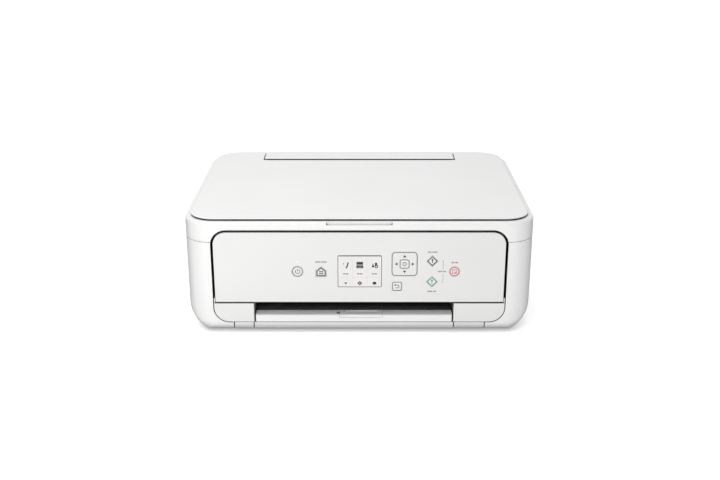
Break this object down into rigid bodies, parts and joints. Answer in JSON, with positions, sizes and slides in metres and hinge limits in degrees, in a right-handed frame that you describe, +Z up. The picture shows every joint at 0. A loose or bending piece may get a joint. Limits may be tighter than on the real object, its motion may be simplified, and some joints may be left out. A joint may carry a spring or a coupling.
{
  "type": "inkjet printer",
  "caption": "Compact white inkjet printer with flatbed scanner, hinged document cover, tilting operation panel, paper cassette and rear paper tray.",
  "frame": {"origin": "on the table, under the middle of the case", "axes": "+X towards the printer's right side as seen from the front, front face towards -Y, +Z up"},
  "size_m": [0.425, 0.315, 0.147],
  "materials": {
    "case_white": "satin, fine moulded texture",
    "panel_white": "satin",
    "key_white": "satin",
    "tray_grey": "satin",
    "inner_grey": "matte",
    "inner_black": "matte",
    "guide_grey": "satin",
    "pad_white": "soft matte foam sheet",
    "glass": "clear polished",
    "screen": "glossy",
    "steel": "zinc plated",
    "gear_white": "natural acetal",
    "rubber": "matte",
    "board_green": "solder mask",
    "ink_black": "satin",
    "ink_colour": "satin"
  },
  "bodies": {
    "case": {"outer_housing": "case_white", "bottom_case": "case_white", "left_front_trim": "case_white", "right_front_trim": "case_white", "scanner_housing": "case_white", "scan_bed": "case_white", "platen_glass": "glass", "scanner_base": "inner_black", "rear_feed_chute": "inner_black", "rear_transport_cover": "case_white", "chassis": "steel", "carriage_rail": "steel", "carriage_belt": "rubber", "carriage_motor": "steel", "feed_motor": "steel", "pinch_rollers": "inner_grey", "print_platen": "inner_black", "purge_unit": "inner_grey", "power_supply": "inner_black", "main_board": "board_green", "rubber_feet": "rubber"},
    "lid_hinges": {"lid_hinges": "case_white"},
    "document_cover": {"document_cover": "case_white", "document_pad": "pad_white"},
    "rear_tray_cover": {"rear_tray_cover": "case_white"},
    "paper_support": {"paper_support": "guide_grey"},
    "feed_slot_cover": {"feed_slot_cover": "guide_grey"},
    "rear_paper_guide_left": {"rear_paper_guide_left": "guide_grey"},
    "rear_paper_guide_right": {"rear_paper_guide_right": "guide_grey"},
    "front_cover": {"operation_panel": "panel_white", "panel_inner_cover": "inner_grey", "control_board": "board_green", "lcd_window": "screen"},
    "power_button": {"power_button": "key_white"},
    "home_button": {"home_button": "key_white"},
    "cross_key": {"cross_key": "key_white"},
    "ok_button": {"ok_button": "key_white"},
    "back_button": {"back_button": "key_white"},
    "black_start_button": {"black_start_button": "key_white"},
    "colour_start_button": {"colour_start_button": "key_white"},
    "stop_button": {"stop_button": "key_white"},
    "cassette": {"cassette": "inner_grey"},
    "cassette_front": {"cassette_front": "case_white"},
    "cassette_guide_left": {"cassette_guide_left": "guide_grey"},
    "cassette_guide_right": {"cassette_guide_right": "guide_grey"},
    "output_tray": {"paper_output_tray": "tray_grey"},
    "output_tray_extension": {"output_tray_extension": "tray_grey"},
    "print_carriage": {"print_carriage": "inner_grey"},
    "black_cartridge": {"black_cartridge": "ink_black"},
    "colour_cartridge": {"colour_cartridge": "ink_colour"},
    "black_cartridge_lock": {"black_cartridge_lock": "guide_grey"},
    "colour_cartridge_lock": {"colour_cartridge_lock": "guide_grey"},
    "carriage_drive_pulley": {"carriage_drive_pulley": "gear_white"},
    "carriage_idler_pulley": {"carriage_idler_pulley": "gear_white"},
    "feed_roller": {"feed_roller": "steel"},
    "feed_idler_gear": {"feed_idler_gear": "gear_white"},
    "discharge_roller": {"discharge_roller": "steel"},
    "pickup_roller": {"pickup_roller": "rubber"},
    "scan_carriage": {"scan_carriage": "inner_black"},
    "scan_drive_gear": {"scan_drive_gear": "gear_white"}
  },
  "joints": [
    {"name": "lid_lift", "type": "slide", "parent": "case", "child": "lid_hinges", "axis": [0, 0, 1], "range_m": [0, 0.01]},
    {"name": "lid_swing", "type": "hinge", "parent": "lid_hinges", "child": "document_cover", "pos_m": [0, 0.148, 0.1395], "axis": [-1, 0, 0], "range_deg": [0, 80]},
    {"name": "rear_tray_cover_swing", "type": "hinge", "parent": "case", "child": "rear_tray_cover", "pos_m": [0, 0.1535, 0.1385], "axis": [-1, 0, 0], "range_deg": [0, 115]},
    {"name": "paper_support_swing", "type": "hinge", "parent": "rear_tray_cover", "child": "paper_support", "pos_m": [-0.0068, 0.1432, 0.1428], "axis": [0, 0, -1], "range_deg": [0, 90]},
    {"name": "feed_slot_cover_swing", "type": "hinge", "parent": "case", "child": "feed_slot_cover", "pos_m": [0, 0.1255, 0.135], "axis": [1, 0, 0], "range_deg": [0, 70]},
    {"name": "rear_guide_right_slide", "type": "slide", "parent": "case", "child": "rear_paper_guide_right", "axis": [-1, 0, 0], "range_m": [0, 0.054]},
    {"name": "rear_guide_left_slide", "type": "slide", "parent": "case", "child": "rear_paper_guide_left", "axis": [1, 0, 0], "range_m": [0, 0.054]},
    {"name": "front_cover_swing", "type": "hinge", "parent": "case", "child": "front_cover", "pos_m": [0, -0.155, 0.0425], "axis": [1, 0, 0], "range_deg": [0, 85]},
    {"name": "power_button_press", "type": "slide", "parent": "front_cover", "child": "power_button", "axis": [0, 1, 0], "range_m": [0, 0.0008], "stiffness_N_per_m": 600, "springref_m": -0.0005},
    {"name": "home_button_press", "type": "slide", "parent": "front_cover", "child": "home_button", "axis": [0, 1, 0], "range_m": [0, 0.0008], "stiffness_N_per_m": 600, "springref_m": -0.0005},
    {"name": "ok_button_press", "type": "slide", "parent": "front_cover", "child": "ok_button", "axis": [0, 1, 0], "range_m": [0, 0.0008], "stiffness_N_per_m": 600, "springref_m": -0.0005},
    {"name": "back_button_press", "type": "slide", "parent": "front_cover", "child": "back_button", "axis": [0, 1, 0], "range_m": [0, 0.0008], "stiffness_N_per_m": 600, "springref_m": -0.0005},
    {"name": "black_start_button_press", "type": "slide", "parent": "front_cover", "child": "black_start_button", "axis": [0, 1, 0], "range_m": [0, 0.0008], "stiffness_N_per_m": 600, "springref_m": -0.0005},
    {"name": "colour_start_button_press", "type": "slide", "parent": "front_cover", "child": "colour_start_button", "axis": [0, 1, 0], "range_m": [0, 0.0008], "stiffness_N_per_m": 600, "springref_m": -0.0005},
    {"name": "stop_button_press", "type": "slide", "parent": "front_cover", "child": "stop_button", "axis": [0, 1, 0], "range_m": [0, 0.0008], "stiffness_N_per_m": 600, "springref_m": -0.0005},
    {"name": "cross_key_tilt", "type": "hinge", "parent": "front_cover", "child": "cross_key", "pos_m": [0.0546, -0.154, 0.0907], "axis": [1, 0, 0], "range_deg": [-1.5, 1.5], "stiffness_Nm_per_rad": 0.6},
    {"name": "cassette_slide", "type": "slide", "parent": "case", "child": "cassette", "axis": [0, -1, 0], "range_m": [0, 0.2]},
    {"name": "cassette_front_slide", "type": "slide", "parent": "cassette", "child": "cassette_front", "axis": [0, -1, 0], "range_m": [0, 0.04]},
    {"name": "cassette_guide_right_slide", "type": "slide", "parent": "cassette", "child": "cassette_guide_right", "axis": [-1, 0, 0], "range_m": [0, 0.054]},
    {"name": "cassette_guide_left_slide", "type": "slide", "parent": "cassette", "child": "cassette_guide_left", "axis": [1, 0, 0], "range_m": [0, 0.054]},
    {"name": "output_tray_slide", "type": "slide", "parent": "cassette", "child": "output_tray", "axis": [0, -1, 0], "range_m": [0, 0.12]},
    {"name": "output_tray_extension_slide", "type": "slide", "parent": "output_tray", "child": "output_tray_extension", "axis": [0, -1, 0], "range_m": [0, 0.06]},
    {"name": "carriage_slide", "type": "slide", "parent": "case", "child": "print_carriage", "axis": [-1, 0, 0], "range_m": [0, 0.261]},
    {"name": "carriage_drive_pulley_spin", "type": "hinge", "parent": "case", "child": "carriage_drive_pulley", "pos_m": [-0.156, -0.033, 0.087], "axis": [0, 0, 1], "continuous": true},
    {"name": "carriage_idler_pulley_spin", "type": "hinge", "parent": "case", "child": "carriage_idler_pulley", "pos_m": [0.156, -0.033, 0.087], "axis": [0, 0, 1], "continuous": true},
    {"name": "black_cartridge_slide", "type": "slide", "parent": "print_carriage", "child": "black_cartridge", "axis": [0, -1, 0], "range_m": [0, 0.018]},
    {"name": "colour_cartridge_slide", "type": "slide", "parent": "print_carriage", "child": "colour_cartridge", "axis": [0, -1, 0], "range_m": [0, 0.018]},
    {"name": "black_cartridge_lock_swing", "type": "hinge", "parent": "print_carriage", "child": "black_cartridge_lock", "pos_m": [0.1494, -0.071, 0.1004], "axis": [-1, 0, 0], "range_deg": [0, 20]},
    {"name": "colour_cartridge_lock_swing", "type": "hinge", "parent": "print_carriage", "child": "colour_cartridge_lock", "pos_m": [0.1116, -0.071, 0.1004], "axis": [-1, 0, 0], "range_deg": [0, 20]},
    {"name": "feed_roller_spin", "type": "hinge", "parent": "case", "child": "feed_roller", "pos_m": [0, -0.034, 0.04], "axis": [1, 0, 0], "continuous": true},
    {"name": "feed_idler_gear_spin", "type": "hinge", "parent": "case", "child": "feed_idler_gear", "pos_m": [-0.174, -0.073, 0.04], "axis": [1, 0, 0], "continuous": true},
    {"name": "discharge_roller_spin", "type": "hinge", "parent": "case", "child": "discharge_roller", "pos_m": [0, -0.112, 0.04], "axis": [1, 0, 0], "continuous": true},
    {"name": "pickup_roller_spin", "type": "hinge", "parent": "case", "child": "pickup_roller", "pos_m": [0, 0.104, 0.033], "axis": [1, 0, 0], "continuous": true},
    {"name": "scan_carriage_slide", "type": "slide", "parent": "case", "child": "scan_carriage", "axis": [1, 0, 0], "range_m": [0, 0.32]},
    {"name": "scan_drive_gear_spin", "type": "hinge", "parent": "scan_carriage", "child": "scan_drive_gear", "pos_m": [-0.18, 0.0242, 0.1206], "axis": [0, 0, 1], "continuous": true}
  ],
  "couplings": [
    {"joint": "paper_support_swing", "follows": "rear_tray_cover_swing", "ratio": 0.78},
    {"joint": "feed_slot_cover_swing", "follows": "rear_tray_cover_swing", "ratio": 0.6},
    {"joint": "rear_guide_left_slide", "follows": "rear_guide_right_slide", "ratio": 1},
    {"joint": "cassette_guide_left_slide", "follows": "cassette_guide_right_slide", "ratio": 1},
    {"joint": "carriage_drive_pulley_spin", "follows": "carriage_slide", "rad_per_m": -157},
    {"joint": "carriage_idler_pulley_spin", "follows": "carriage_slide", "rad_per_m": -157},
    {"joint": "feed_idler_gear_spin", "follows": "feed_roller_spin", "ratio": -0.56},
    {"joint": "discharge_roller_spin", "follows": "feed_roller_spin", "ratio": 1},
    {"joint": "scan_drive_gear_spin", "follows": "scan_carriage_slide", "rad_per_m": -149}
  ]
}
